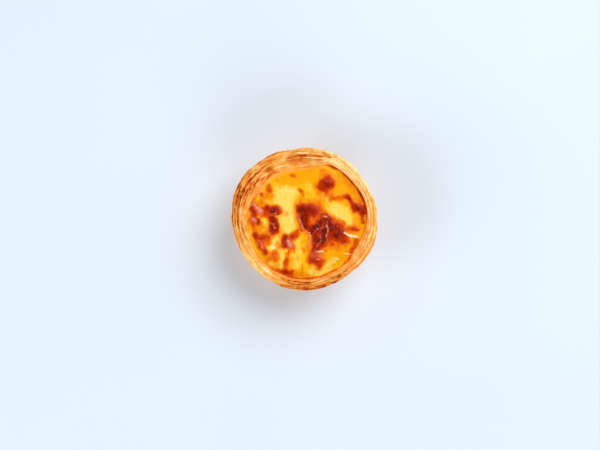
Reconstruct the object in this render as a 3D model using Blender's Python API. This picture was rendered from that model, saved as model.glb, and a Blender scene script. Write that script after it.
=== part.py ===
"""Portuguese custard tart: a puff pastry case with a leafy, uneven rim, filled with baked custard.

The case is one closed solid, turned from a profile and then pressed out of round. The custard is a second
solid that fills it up to the custard line. +Z is up, and the origin is the middle of the face it stands on.
"""

from collections import namedtuple
from math import atan2, cos, exp, hypot, pi, radians, sin

import bmesh
import bpy
from mathutils import Vector, noise

MM = 0.001

# The case, outside
RIM_ACROSS = 76.4 * MM
RIM_DEEP = 74.4 * MM
HEIGHT = 28.5 * MM
# How the rim is out of round: lobes around it, share of the radius, direction of one lobe
LOBES = (
    (2, 0.017, radians(157)),
    (3, 0.007, radians(22)),
    (4, 0.009, radians(68)),
    (5, 0.003, radians(58)),
)
BASE_RADIUS = 24.0 * MM
BASE_EDGE_ROUNDING = 1.2 * MM
WALL_TOP_RADIUS = 36.2 * MM
WALL_TOP_HEIGHT = 24.0 * MM
WALL_BULGE = 1.1 * MM
SHELVES = 8
SHELF_DEPTH = 0.35 * MM

# The rim: leaves of dough that parted in the oven, from the outermost to the innermost
LEAF_RADII = (37.0 * MM, 35.2 * MM, 33.4 * MM)
LEAF_HEIGHTS = (25.4 * MM, 27.2 * MM, 27.9 * MM)
LEAF_GAP_DEPTH = 1.2 * MM
LEAF_WIDTH = 1.0 * MM
LEAF_WAVE = 0.7 * MM

# The case, inside
CUSTARD_LINE_RADIUS = 31.5 * MM
CUSTARD_LINE_HEIGHT = 23.8 * MM
FLOOR_RADIUS = 20.0 * MM
FLOOR_THICKNESS = 2.6 * MM
# Where the inner wall slumped in over the custard: direction, spread to each side, depth
SLUMPS = (
    (radians(122), radians(46), 4.6 * MM),
    (radians(203), radians(26), 1.6 * MM),
)

# The custard
GAP = 0.4 * MM
CROWN = 0.9 * MM
CUSTARD_RINGS = 10
RIPPLE_HEIGHT = 0.35 * MM
RIPPLE_LENGTH = 9.0 * MM

# Blisters in the custard's skin: (x, y, radius, height) in millimetres from the middle
BLISTERS = (
    (3.5, 1.0, 7.0, 0.9),
    (9.0, -7.5, 6.5, 0.9),
    (6.0, -20.0, 4.5, 0.7),
    (11.0, 18.5, 4.0, 0.6),
    (26.5, 5.0, 4.5, 0.6),
    (-16.0, 2.0, 5.5, 0.7),
    (-25.5, 4.0, 4.0, 0.6),
    (-9.0, -12.5, 4.0, 0.7),
    (-22.5, -13.0, 4.5, 0.6),
    (-9.5, -26.5, 4.0, 0.5),
)

STEPS_AROUND = 96
WELD = 0.01 * MM

# wave: how far the point rises and falls with its leaf. inside: 1 on the inner wall, whose shape the slump
# changes. leaf: which leaf's own wave it follows.
ProfilePoint = namedtuple("ProfilePoint", "radius height wave inside leaf", defaults=(0, 0, 0))


def clear_scene():
    for obj in list(bpy.data.objects):
        bpy.data.objects.remove(obj, do_unlink=True)


def outline(angle):
    """The rim's radius in that direction, as a share of its mean radius."""
    return 1 + sum(share * cos(lobes * (angle - direction)) for lobes, share, direction in LOBES)


def slump(angle):
    """How far the inner wall has come in, in that direction."""
    depth = 0
    for direction, spread, most in SLUMPS:
        away = (angle - direction + pi) % (2 * pi) - pi
        depth += most * exp(-((away / spread) ** 4))
    return depth


def leaf_wave(angle, leaf):
    """How far a leaf's crest rises or dips there, from -1 to 1. Each leaf has its own waves."""
    shift = 2.1 * leaf
    slow = 0.55 * sin(3 * angle + shift) + 0.3 * sin(7 * angle - 1.7 * shift)
    return slow + 0.15 * sin(13 * angle + 2.3 * shift)


def wall_radius(height):
    """The outer wall's radius at a height, before the shelves: a cone that swells a little half way."""
    share = height / WALL_TOP_HEIGHT
    return BASE_RADIUS + (WALL_TOP_RADIUS - BASE_RADIUS) * share + WALL_BULGE * sin(pi * share)


def base_points():
    """The flat underside, and the rounded edge that it stands inside."""
    edge = BASE_RADIUS - BASE_EDGE_ROUNDING
    yield ProfilePoint(0, 0)
    for turn in (0, 45, 90):
        out = BASE_EDGE_ROUNDING * sin(radians(turn))
        up = BASE_EDGE_ROUNDING * (1 - cos(radians(turn)))
        yield ProfilePoint(edge + out, up)


def wall_points():
    """The outer wall: layers of dough that overlap like shelves, each standing out at its upper edge."""
    pitch = (WALL_TOP_HEIGHT - BASE_EDGE_ROUNDING) / SHELVES
    for shelf in range(SHELVES):
        foot = BASE_EDGE_ROUNDING + pitch * (shelf + 0.2)
        lip = foot + pitch * 0.7
        waviness = 0.4 * (shelf + 1) / SHELVES
        yield ProfilePoint(wall_radius(foot), foot, waviness, 0, 0)
        yield ProfilePoint(wall_radius(lip) + SHELF_DEPTH, lip, waviness, 0, 0)


def rim_points():
    """The crests of the leaves, with a gap between each and the next."""
    for leaf, (radius, height) in enumerate(zip(LEAF_RADII, LEAF_HEIGHTS)):
        yield ProfilePoint(radius + LEAF_WIDTH / 2, height - LEAF_WIDTH / 3, 1, leaf / 4, leaf)
        yield ProfilePoint(radius - LEAF_WIDTH / 4, height, 1, leaf / 4, leaf)
        if leaf + 1 < len(LEAF_RADII):
            middle = (radius + LEAF_RADII[leaf + 1]) / 2
            yield ProfilePoint(middle, height - LEAF_GAP_DEPTH, 0.5, leaf / 4, leaf)


def cavity_points(inset=0.0):
    """The cavity from the custard line down to the floor. inset moves it in, for the custard's own sides."""
    line = CUSTARD_LINE_RADIUS - inset
    floor = FLOOR_THICKNESS + inset
    low_height = floor + 2.5 * MM
    yield ProfilePoint(line, CUSTARD_LINE_HEIGHT, 0, 1)
    yield ProfilePoint((line + FLOOR_RADIUS + 3.4 * MM) / 2, CUSTARD_LINE_HEIGHT * 0.5, 0, 0.45)
    yield ProfilePoint(FLOOR_RADIUS + 1.5 * MM - inset, low_height, 0, 0.05)
    yield ProfilePoint(FLOOR_RADIUS - inset, floor)
    yield ProfilePoint(0, floor)


def turned(profile):
    """A closed shape, turned round the Z axis from a profile whose ends are on the axis."""
    shape = bmesh.new()
    layers = {key: shape.verts.layers.float.new(key) for key in ("wave", "inside", "leaf")}
    verts = []
    for point in profile:
        vert = shape.verts.new((point.radius, 0, point.height))
        for key, layer in layers.items():
            vert[layer] = getattr(point, key)
        verts.append(vert)
    edges = [shape.edges.new(pair) for pair in zip(verts, verts[1:])]
    bmesh.ops.spin(
        shape, geom=verts + edges, cent=(0, 0, 0), axis=(0, 0, 1), angle=2 * pi,
        steps=STEPS_AROUND, use_merge=True,
    )
    bmesh.ops.remove_doubles(shape, verts=shape.verts, dist=WELD)
    bmesh.ops.recalc_face_normals(shape, faces=shape.faces)
    return shape, layers


def press_out_of_round(shape, layers):
    """The hand-pressed form: an oval outline that fades out towards the round base, wavy leaves, and the
    stretch of crust that slumped in over the custard."""
    for vert in shape.verts:
        x, y, z = vert.co
        radius = hypot(x, y)
        if radius < WELD:
            continue
        angle = atan2(y, x)
        share_up = min(z / WALL_TOP_HEIGHT, 1)
        radius *= 1 + (outline(angle) - 1) * share_up
        radius -= slump(angle) * vert[layers["inside"]]
        z += LEAF_WAVE * leaf_wave(angle, vert[layers["leaf"]]) * vert[layers["wave"]] * share_up
        vert.co = (radius * cos(angle), radius * sin(angle), z)


def blister_the_skin(shape, layers):
    """Raises the custard's top: a low crown, slow ripples, and the blisters that the oven's heat made."""
    for vert in shape.verts:
        if not vert[layers["wave"]]:
            continue
        x, y = vert.co.x / MM, vert.co.y / MM
        fade = vert[layers["wave"]]
        rise = CROWN * fade
        rise += RIPPLE_HEIGHT * fade * noise.noise(Vector((vert.co.x, vert.co.y, 0)) / RIPPLE_LENGTH)
        for middle_x, middle_y, radius, height in BLISTERS:
            away = hypot(x - middle_x, y - middle_y) / radius
            rise += height * MM * exp(-(away**4)) * min(fade * 4, 1)
        vert.co.z += rise


def smooth_object(name, shape, collection, material):
    mesh = bpy.data.meshes.new(name)
    shape.to_mesh(mesh)
    shape.free()
    mesh.shade_smooth()
    mesh.set_sharp_from_angle(angle=radians(50))
    mesh.materials.append(material)
    obj = bpy.data.objects.new(name, mesh)
    collection.objects.link(obj)
    return obj


def plain_material(name, colour, roughness):
    material = bpy.data.materials.new(name)
    material.use_nodes = True
    surface = material.node_tree.nodes["Principled BSDF"]
    surface.inputs["Base Color"].default_value = (*colour, 1)
    surface.inputs["Roughness"].default_value = roughness
    surface.inputs["Metallic"].default_value = 0
    return material


def pastry_case():
    profile = [*base_points(), *wall_points(), *rim_points(), *cavity_points()]
    shape, layers = turned(profile)
    press_out_of_round(shape, layers)
    return shape


def custard_filling():
    """The sides and underside follow the cavity; the top is rings from the edge to the middle."""
    sides = list(cavity_points(GAP))
    edge = sides[0]
    top = [ProfilePoint(0, edge.height, 1, 0)]
    for ring in range(1, CUSTARD_RINGS):
        share = ring / CUSTARD_RINGS
        top.append(ProfilePoint(edge.radius * share, edge.height, 1 - share**4, share**6))
    shape, layers = turned([*top, *sides])
    blister_the_skin(shape, layers)
    for vert in shape.verts:
        vert[layers["wave"]] = 0
    press_out_of_round(shape, layers)
    return shape


def fit_to_size(case, others):
    """Scales and centres the case to its stated size over the origin, and moves what it holds with it."""
    corners = [Vector(corner) for corner in case.bound_box]
    low = Vector(min(corner[axis] for corner in corners) for axis in range(3))
    high = Vector(max(corner[axis] for corner in corners) for axis in range(3))
    middle = Vector(((low.x + high.x) / 2, (low.y + high.y) / 2, low.z))
    stated = (RIM_ACROSS, RIM_DEEP, HEIGHT)
    scale = [size / (top - bottom) for size, top, bottom in zip(stated, high, low)]
    for obj in (case, *others):
        for vert in obj.data.vertices:
            vert.co = Vector(length * share for length, share in zip(vert.co - middle, scale))


def main():
    clear_scene()
    collection = bpy.data.collections.new("portuguese_custard_tart")
    bpy.context.scene.collection.children.link(collection)
    pastry = plain_material("baked_pastry", (0.80, 0.42, 0.14), 0.55)
    filling = plain_material("baked_custard", (0.90, 0.50, 0.07), 0.3)
    case = smooth_object("pastry_case", pastry_case(), collection, pastry)
    custard = smooth_object("custard", custard_filling(), collection, filling)
    fit_to_size(case, [custard])


main()
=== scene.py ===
# %% [markdown]
# # A Portuguese custard tart
# A disc of rolled puff pastry is pressed into a round tin, filled with egg custard, and baked so hot that
# the pastry parts into leaves and the custard's skin blisters and scorches. The lesson builds it in that
# order: the case, the leaves of its rim, the loose flakes, the custard, and then the light and the camera.
#
# The frame comes first. It is the plain solid model, and it says how large everything is and where it goes.

import random
from collections import namedtuple
from math import atan2, cos, exp, floor, hypot, pi, radians, sin

import bmesh
import bpy
import numpy as np
from mathutils import Matrix, Vector, noise


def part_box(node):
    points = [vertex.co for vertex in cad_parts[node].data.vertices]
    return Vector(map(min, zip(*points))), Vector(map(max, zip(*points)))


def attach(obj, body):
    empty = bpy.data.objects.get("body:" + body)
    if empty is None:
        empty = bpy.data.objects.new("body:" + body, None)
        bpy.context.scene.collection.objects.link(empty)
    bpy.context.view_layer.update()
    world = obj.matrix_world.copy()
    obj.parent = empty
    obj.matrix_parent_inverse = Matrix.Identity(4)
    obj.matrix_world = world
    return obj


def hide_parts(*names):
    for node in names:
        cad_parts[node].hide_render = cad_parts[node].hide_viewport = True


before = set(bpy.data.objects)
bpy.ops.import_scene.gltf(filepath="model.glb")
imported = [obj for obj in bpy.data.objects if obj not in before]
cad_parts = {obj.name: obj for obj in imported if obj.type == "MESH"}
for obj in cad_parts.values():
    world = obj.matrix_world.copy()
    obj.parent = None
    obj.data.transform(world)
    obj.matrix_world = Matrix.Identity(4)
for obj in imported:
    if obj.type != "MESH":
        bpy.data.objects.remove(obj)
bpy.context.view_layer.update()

# %% [markdown]
# ## Driving sizes
# Everything is worked out from the case's own box: its mean radius at the rim and its height. The tart was
# pressed by hand, so its outline has a few low lobes, and on one side the inner wall slumped in over the
# filling. A sum of cosines gives the lobes, which is shorter than an outline of points and never has a
# corner. What happens on one side only, such as the slump, is a bump round the circle: a direction, a spread
# and a height.

# %% Sizes and outline
MM = 0.001
case_low, case_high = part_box("pastry_case")
RIM = (case_high.x - case_low.x + case_high.y - case_low.y) / 4
HEIGHT = case_high.z
BASE = 0.637 * RIM
CUSTARD_LINE = 0.836 * RIM
CUSTARD_HEIGHT = 0.835 * HEIGHT
FLOOR_RADIUS = 0.53 * RIM
FLOOR_HEIGHT = 0.09 * HEIGHT
LOBES = ((2, 0.017, 157), (3, 0.007, 22), (4, 0.009, 68), (5, 0.003, 58))
SLUMPS = (  # direction in degrees, spread, depth; less than nothing where the wall was pressed outward
    (122, 46, 4.6 * MM),
    (157, 15, 1.5 * MM),
    (186, 22, 1.7 * MM),
    (82, 13, 1.3 * MM),
    (14, 16, -0.9 * MM),
    (334, 13, 1.3 * MM),
)


def outline(angle):
    """The rim's radius in that direction, as a share of its mean radius."""
    return 1 + sum(share * cos(lobes * (angle - radians(toward))) for lobes, share, toward in LOBES)


def bump(angle, toward, spread, power=2):
    """1 in a direction, given in degrees, and falling to 0 on both sides of it. angle may be an array."""
    away = (angle - radians(toward) + pi) % (2 * pi) - pi
    return np.exp(-abs(away / radians(spread)) ** power)


def bumps(angle, rows, power=2):
    """Bumps added up. Each row is a direction and a spread in degrees, and how high the bump is."""
    return sum(height * bump(angle, toward, spread, power) for toward, spread, height in rows)


def slump(angle):
    """How far the inner wall has come in over the custard, in that direction."""
    return bumps(angle, SLUMPS, 4)


print(f"rim radius {RIM / MM:.1f} mm, height {HEIGHT / MM:.1f} mm, slump {slump(radians(122)) / MM:.1f} mm")

# %% [markdown]
# ## Chance that closes on itself
# Nothing in food is regular, so most shapes below are pushed about by smooth noise. Round a case the noise
# has to meet itself again after a full turn. It is therefore read along a circle in noise space, where the
# angle's cosine and sine are the place, and a third number picks another layer of dough.

# %% Noise helpers
def around(angle, detail, layer=0.0):
    """Smooth noise from about -1 to 1 that closes on itself round the case. detail is how busy it is."""
    return noise.noise(Vector((cos(angle) * detail, sin(angle) * detail, layer)))


def waves(angle, rows, layer=0.0):
    """Waves added up. Each row is how high they go, how busy they are, and their own layer of noise."""
    return sum(most * around(angle, detail, own + layer) for most, detail, own in rows)


def smooth(low, high, value):
    """0 up to low, 1 from high on, and an S-curve between. low may be the larger, and then it falls."""
    share = min(max((value - low) / (high - low), 0), 1)
    return share * share * (3 - 2 * share)


print("noise closes:", abs(around(0, 3) - around(2 * pi, 3)) < 1e-6)

# %% [markdown]
# ## Brush strokes
# Some marks are what makes this tart this tart, so they are placed one by one and not left to noise. Each
# mark is a line with a radius, like a stroke of a brush, in millimetres from the middle of the tart. Strokes
# that overlap add up without passing 1. They are read for whole arrays of places at once, which is many times
# faster than asking point by point.

# %% Stroke helpers
Stroke = namedtuple("Stroke", "x y to_x to_y radius strength")


def chain(radius, strength, *places):
    """Strokes that join the places in a row."""
    return tuple(Stroke(*start, *end, radius, strength) for start, end in zip(places, places[1:]))


def smooth_all(low, high, values):
    """The same S-curve as smooth, for an array."""
    share = np.clip((values - low) / (high - low), 0, 1)
    return share * share * (3 - 2 * share)


def painted(strokes, x, y, inner, outer):
    """How strongly the strokes cover each place: in full up to inner radii from a stroke's line, and fading
    to nothing at outer radii."""
    bare = np.ones_like(x)
    for stroke in strokes:
        run_x, run_y = stroke.to_x - stroke.x, stroke.to_y - stroke.y
        share = ((x - stroke.x) * run_x + (y - stroke.y) * run_y) / (run_x * run_x + run_y * run_y)
        share = np.clip(share, 0, 1)
        away = np.hypot(x - stroke.x - share * run_x, y - stroke.y - share * run_y) / stroke.radius
        bare *= 1 - stroke.strength * smooth_all(outer, inner, away)
    return 1 - bare


def speckle(x, y, size, layer=0.0):
    """Smooth noise from about -1 to 1 for arrays of places. size is how far apart its hills are."""
    return np.array([noise.noise(Vector((a / size, b / size, layer))) for a, b in zip(x, y)])


def places_of(points):
    """Where the points are, seen from above, as arrays of x and y in millimetres."""
    return np.array([point.co.x for point in points]) / MM, np.array([point.co.y for point in points]) / MM


beside = np.array([2.0]), np.array([2.0])
print("half way out of a stroke:", painted(chain(2, 1, (0, 0), (4, 0)), *beside, 0.5, 1.5))

# %% [markdown]
# ## Turning a shape
# The case and the custard are both round, so each starts as a profile in the XZ plane, from the axis out and
# back to the axis. `subdivide_edges` fills in the points between the corners, and `spin` turns the profile
# about Z. A spin slows down as its shape grows, so only an eighth is spun, and doubling it three times
# closes the circle. Numbers given at the corners are stored on the points, where the subdivision blends
# them, so that later each point knows how far along the profile it lies and how rough the dough is there.

# %% Turning helper
Corner = namedtuple("Corner", "radius height points rough inside", defaults=(0, 0, 0))
WELD = 0.005 * MM


def turned(corners, steps):
    """A closed shape turned from corners, and its point layers. across is how far along the profile a point
    lies, and toast is filled in later."""
    shape = bmesh.new()
    layers = {key: shape.verts.layers.float.new(key) for key in ("rough", "inside", "across", "toast")}
    cuts = shape.edges.layers.int.new("cuts")
    points = [shape.verts.new((corner.radius, 0, corner.height)) for corner in corners]
    for corner, point in zip(corners, points):
        point[layers["rough"]], point[layers["inside"]] = corner.rough, corner.inside
    for corner, start, end in zip(corners, points, points[1:]):
        end[layers["across"]] = start[layers["across"]] + (end.co - start.co).length
        shape.edges.new((start, end))[cuts] = corner.points
    for count in sorted({corner.points for corner in corners if corner.points}):
        alike = [edge for edge in shape.edges if edge[cuts] == count]
        bmesh.ops.subdivide_edges(shape, edges=alike, cuts=count)
    bmesh.ops.spin(
        shape, geom=shape.verts[:] + shape.edges[:], cent=(0, 0, 0), axis=(0, 0, 1), angle=pi / 4,
        steps=steps // 8,
    )
    for turn in (pi / 4, pi / 2, pi):
        copies = bmesh.ops.duplicate(shape, geom=shape.verts[:] + shape.edges[:] + shape.faces[:])["geom"]
        copied = [item for item in copies if isinstance(item, bmesh.types.BMVert)]
        bmesh.ops.rotate(shape, verts=copied, cent=(0, 0, 0), matrix=Matrix.Rotation(turn, 3, "Z"))
    bmesh.ops.remove_doubles(shape, verts=shape.verts, dist=WELD)
    bmesh.ops.recalc_face_normals(shape, faces=shape.faces)
    shape.normal_update()
    return shape, layers


def add_part(whole, part):
    """Adds a part to the shape that collects them all."""
    mesh = bpy.data.meshes.new("part")
    part.to_mesh(mesh)
    part.free()
    whole.from_mesh(mesh)
    bpy.data.meshes.remove(mesh)


def finished(name, shape, material, node):
    """Makes the object, which stays at the origin, hangs it on the root body and hides the frame's part that
    it stands for.
    """
    mesh = bpy.data.meshes.new(name)
    shape.to_mesh(mesh)
    shape.free()
    mesh.shade_smooth()
    mesh.materials.append(material)
    piece = bpy.data.objects.new(name, mesh)
    bpy.context.scene.collection.objects.link(piece)
    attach(piece, "root")
    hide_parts(node)
    triangles = sum(len(face.vertices) - 2 for face in mesh.polygons)
    print(f"{name}: {triangles} triangles")
    return piece


# %% [markdown]
# ## Shader maths as Python
# A material is a graph of nodes, and a graph is tiring to read as a list of links. The class below wraps one
# output. Adding, taking away or multiplying it makes a Math node, so `1 - mask` is a node too. Colours go
# through a Mix node instead, because a Math node turns a colour grey. Any other node comes from `node`.

# %% Shader helper
class Value:
    """One output of a shader node."""

    def __init__(self, tree, output):
        self.tree, self.output = tree, output

    def node(self, kind, settings=None, sockets=None, output=0):
        """Any node: its settings first, and then the values or links of its sockets."""
        made = self.tree.nodes.new(kind)
        for key, value in (settings or {}).items():
            setattr(made, key, value)
        for key, value in (sockets or {}).items():
            if isinstance(value, Value):
                self.tree.links.new(value.output, made.inputs[key])
            else:
                made.inputs[key].default_value = value
        return Value(self.tree, made.outputs[output])

    def math(self, operation, first, second=0.0):
        return self.node("ShaderNodeMath", {"operation": operation}, {0: first, 1: second})

    def __add__(self, other):
        return self.math("ADD", self, other)

    def __sub__(self, other):
        return self.math("SUBTRACT", self, other)

    def __rsub__(self, other):
        return self.math("SUBTRACT", other, self)

    def __mul__(self, other):
        return self.math("MULTIPLY", self, other)

    __radd__, __rmul__ = __add__, __mul__

    def vector(self, operation, second, output=0):
        """A Vector Math node; second is a vector, or the factor of SCALE."""
        key = "Scale" if operation == "SCALE" else 1
        return self.node("ShaderNodeVectorMath", {"operation": operation}, {0: self, key: second}, output)

    def between(self, low, high):
        """0 where the value is under low, 1 over high, with an S-curve between."""
        limits = {"Value": self, "From Min": low, "From Max": high}
        return self.node("ShaderNodeMapRange", {"interpolation_type": "SMOOTHSTEP"}, limits)

    def mix(self, first, second):
        """The first colour where this mask is 0, the second where it is 1."""
        colour_a, colour_b, result = 6, 7, 2
        return self.node(
            "ShaderNodeMix", {"data_type": "RGBA"}, {0: self, colour_a: first, colour_b: second}, result
        )

    def noise(self, scale, detail=2.0, roughness=0.5, distortion=0.0):
        """Noise read at this place, from 0 to 1. scale is in cells for each metre."""
        sockets = {
            "Vector": self, "Scale": scale, "Detail": detail, "Roughness": roughness, "Distortion": distortion
        }
        return self.node("ShaderNodeTexNoise", {}, sockets)

    def attribute(self, name):
        """A number stored on the mesh's points."""
        return self.node("ShaderNodeAttribute", {"attribute_name": name}, {}, "Fac")


def paint(red, green, blue):
    """A colour as a screen shows it, from 0 to 255, in the linear light that shaders use."""
    levels = [level / 255 for level in (red, green, blue)]
    return (*(c / 12.92 if c <= 0.04045 else ((c + 0.055) / 1.055) ** 2.4 for c in levels), 1)


def new_material(name, constants):
    """A material whose Principled shader has these constants, with the place on the object to start from."""
    material = bpy.data.materials.new(name)
    material.use_nodes = True
    tree = material.node_tree
    surface = tree.nodes["Principled BSDF"]
    for key, value in constants.items():
        surface.inputs[key].default_value = value
    place = Value(tree, tree.nodes.new("ShaderNodeTexCoord").outputs["Object"])
    return material, surface, place


def stepped(mask, colour, steps):
    """Takes a colour through steps: where the mask starts and ends to change it, and the colour after."""
    for low, high, after in steps:
        colour = mask.between(low, high).mix(colour, paint(*after))
    return colour


def wire(surface, links):
    for key, value in links.items():
        value.tree.links.new(value.output, surface.inputs[key])


print("cream in linear light:", [round(c, 3) for c in paint(252, 218, 170)[:3]])

# %% [markdown]
# ## The pastry's finish
# Baked puff pastry goes from cream, where a sheet was shaded by its neighbour, through gold to brown on the
# crisp edges. How baked a point is was worked out with its shape and is stored as `toast`, which also carries
# painted shade, darker in the slits between sheets, and painted highlight, paler on crests and on sheets that
# stand out. The shader adds what is too fine for points: a grain that runs round the case along the sheets,
# and freckles of browned butter. The grain is noise squeezed across the sheets and drawn out along them, so
# it reads the direction round the case and the distance across the sheets and not plain XYZ. Roughness
# follows the grain, because the buttery spots shine.

# %% Pastry material
PALEST = (255, 224, 156)
BAKING = (  # from where to where the toast takes the colour there, and that colour
    (0.02, 0.26, (253, 196, 108)),
    (0.2, 0.46, (248, 162, 60)),
    (0.42, 0.7, (220, 106, 22)),
    (0.66, 0.9, (160, 54, 12)),
    (0.88, 1.15, (66, 22, 8)),
)
LINES = 1700  # streaks of grain for each metre across the sheets
GRAIN_ROUND, FIBRES_ROUND = 22, 50  # how busy they are round the case, for one radius
FRECKLES, BLOTCHES = 1100, 260  # cells for each metre


def pastry_material():
    constants = {
        "IOR": 1.45, "Specular IOR Level": 0.25,
        "Subsurface Weight": 0.12, "Subsurface Radius": (1.0, 0.5, 0.2), "Subsurface Scale": 0.8 * MM,
    }
    material, surface, place = new_material("baked_pastry", constants)
    outward = place.vector("MULTIPLY", (1, 1, 0)).vector("NORMALIZE", (0, 0, 0))
    lines = place.node("ShaderNodeCombineXYZ", {}, {"Z": place.attribute("across") * LINES})
    grain = outward.vector("SCALE", GRAIN_ROUND).vector("ADD", lines).noise(1, 3, 0.6)
    fine_lines = lines.vector("SCALE", 2.3)
    fibres = outward.vector("SCALE", FIBRES_ROUND).vector("ADD", fine_lines).noise(1, 2)
    freckles = place.noise(FRECKLES, 3, 0.6).between(0.56, 0.74)
    blotches = place.noise(BLOTCHES, 2).between(0.3, 0.7)
    toast = place.attribute("toast") + (grain - 0.5) * 0.36 + (fibres - 0.5) * 0.22
    toast = toast + freckles * 0.12 + (blotches - 0.5) * 0.2
    relief = grain * 0.6 + fibres * 0.4
    bumped = place.node(
        "ShaderNodeBump", {}, {"Strength": 0.6, "Distance": 0.3 * MM, "Height": relief}, "Normal"
    )
    colour = stepped(toast, paint(*PALEST), BAKING)
    wire(surface, {"Base Color": colour, "Roughness": 0.74 - 0.24 * grain, "Normal": bumped})
    return material


pastry = pastry_material()
print("pastry nodes:", len(pastry.node_tree.nodes))

# %% [markdown]
# ## How baked the pastry is
# The oven browned the rim unevenly: it is palest at the back right, and darkest at the front and the back
# left. These directions are choices, and each is one bump round the circle. A slit between two sheets is
# painted darker: that is painted shade, where the walls of a slit shade each other. Dark slit lines, partly
# browned and partly painted shade, caramel blotches, and pale cream painted highlights on the rim are brush
# strokes.

# %% Toast
MEAN_TOAST, DARKEST = 0.33, 0.84
TONES = (  # direction in degrees, spread, how much browner
    (2, 20, 0.05),
    (50, 34, -0.15),
    (94, 20, 0.03),
    (142, 28, 0.15),
    (180, 22, 0.05),
    (224, 24, -0.03),
    (276, 28, 0.2),
    (320, 18, 0.06),
)
MEAN_SLIT_SHADE = 0.12
SLIT_SHADES = (  # direction in degrees, spread, how dark the painted shade in the slits is there
    (96, 18, 0.08),
    (151, 22, 0.3),
    (184, 16, 0.16),
    (282, 28, 0.04),
)
# Dark slit lines at the back left and the back, partly browned and partly painted shade in the slits; then
# caramel blotches, a burn and browned edges, which are the pastry's own colour.
RIM_MARKS = (
    *chain(0.5, 0.5, (-27.6, 20.6), (-30.0, 17.4), (-32.2, 14.0)),
    *chain(0.5, 0.38, (-33.2, 16.6), (-34.4, 11.6), (-35.3, 7.0)),
    *chain(0.35, 0.34, (-31.0, 15.2), (-33.2, 10.0)),
    *chain(0.4, 0.32, (-27.2, 20.8), (-24.5, 23.4), (-21.6, 25.0)),
    *chain(0.45, 0.44, (-26.2, 17.2), (-23.9, 19.8), (-20.6, 21.2)),
    *chain(0.35, 0.34, (-24.6, 28.4), (-20.3, 31.4)),
    *chain(0.4, 0.34, (-27.9, 15.8), (-29.6, 12.0), (-31.0, 7.6)),
    Stroke(-19.4, 25.6, -18.8, 25.8, 0.7, 0.22),
    *chain(0.4, 0.24, (-33.4, 8.0), (-34.2, 1.0), (-33.8, -5.0)),
    *chain(0.5, 0.34, (-2.3, 31.4), (3.2, 33.2), (9.3, 32.0)),
    *chain(0.5, 0.36, (9.9, 33.9), (13.2, 31.7)),
    *chain(0.5, 0.24, (-4.0, 35.4), (4.0, 36.2)),
    *chain(0.8, 0.24, (-19.4, 31.6), (-15.4, 32.6)),
    Stroke(-6.8, 29.4, -4.0, 30.4, 2.0, 0.28),
    Stroke(0.0, 28.8, 1.2, 29.2, 1.5, 0.3),
    Stroke(8.0, 28.8, 11.4, 27.8, 1.5, 0.26),
    Stroke(-18.4, 24.4, -16.4, 24.8, 1.0, 0.26),
    Stroke(15.6, -33.2, 17.2, -32.6, 0.6, 0.5),
    *chain(0.8, 0.3, (14.6, -31.4), (18.2, -29.6), (21.8, -27.6)),
    *chain(0.4, 0.18, (33.2, -1.0), (32.6, -8.0)),
    *chain(0.5, 0.26, (12.6, -28.2), (16.4, -27.4)),
    *chain(0.6, 0.26, (-12.0, -34.4), (0.0, -36.2), (10.0, -35.0), (16.0, -32.6)),
    *chain(0.5, 0.16, (-16.0, -28.8), (-8.0, -32.4), (2.0, -33.8)),
)
# Pale cream strokes on the rim, most of them painted highlights.
RIM_HIGHLIGHTS = (
    *chain(0.6, 0.3, (-28.0, 24.0), (-26.2, 25.8), (-24.2, 26.8)),
    *chain(1.6, 0.24, (-22.4, 22.6), (-18.4, 22.0)),
    *chain(0.5, 0.26, (-33.0, 5.4), (-32.8, -1.0)),
    *chain(0.5, 0.2, (-28.6, 14.6), (-30.2, 10.4)),
    *chain(0.8, 0.2, (10.0, 31.0), (15.0, 29.6), (19.0, 27.2)),
    *chain(0.7, 0.2, (29.4, -8.4), (27.4, -13.4)),
    *chain(0.6, 0.2, (33.4, 2.0), (32.4, -6.0)),
    *chain(0.5, 0.2, (4.0, -33.0), (12.0, -31.4)),
)


def toast_round(angle):
    """How baked the rim is in that direction: 0 is pale and 1 is dark brown."""
    return MEAN_TOAST + bumps(angle, TONES)


def slit_shade(angle):
    """How dark the painted shade in the slits between sheets is there."""
    return MEAN_SLIT_SHADE + bumps(angle, SLIT_SHADES)


def brown_the_rim(shape, toast):
    """Adds the listed marks to the points near the rim, whichever piece they belong to."""
    points = [point for point in shape.verts if point.co.z > 0.8 * HEIGHT]
    x, y = places_of(points)
    # Dark slit lines among the marks are partly painted shade; the pale cream strokes taken away are painted
    # highlights.
    marks = painted(RIM_MARKS, x, y, 0.2, 2.2) - painted(RIM_HIGHLIGHTS, x, y, 0.2, 2.2)
    for point, mark in zip(points, marks * (0.9 + 0.5 * speckle(x, y, 1.4, 3))):
        point[toast] = min(point[toast] + mark * smooth(0.84, 0.93, point.co.z / HEIGHT), DARKEST)


print("toast by direction:", {turn: round(toast_round(radians(turn)), 2) for turn in range(0, 360, 45)})

# %% [markdown]
# ## Sheets of dough
# Puff pastry is hundreds of sheets with butter between. In the wall of the case they lie on each other like
# pages and show as ledges that wander, part and close again. The distance along the profile is cut into
# sheets, with noise that shifts the cuts. Each sheet stands out or in by its own slow noise, swells towards
# its upper edge and drops back there into a slit. Broad sheets and fine ones are added up, and the fine ones
# fade in and out, or the wall would look woven. This relief is real geometry, because the outline of the
# wall shows it.

# %% Relief of the sheets
BROAD_PITCH = 3.3 * MM
FINE_PITCH = 1.0 * MM


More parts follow.
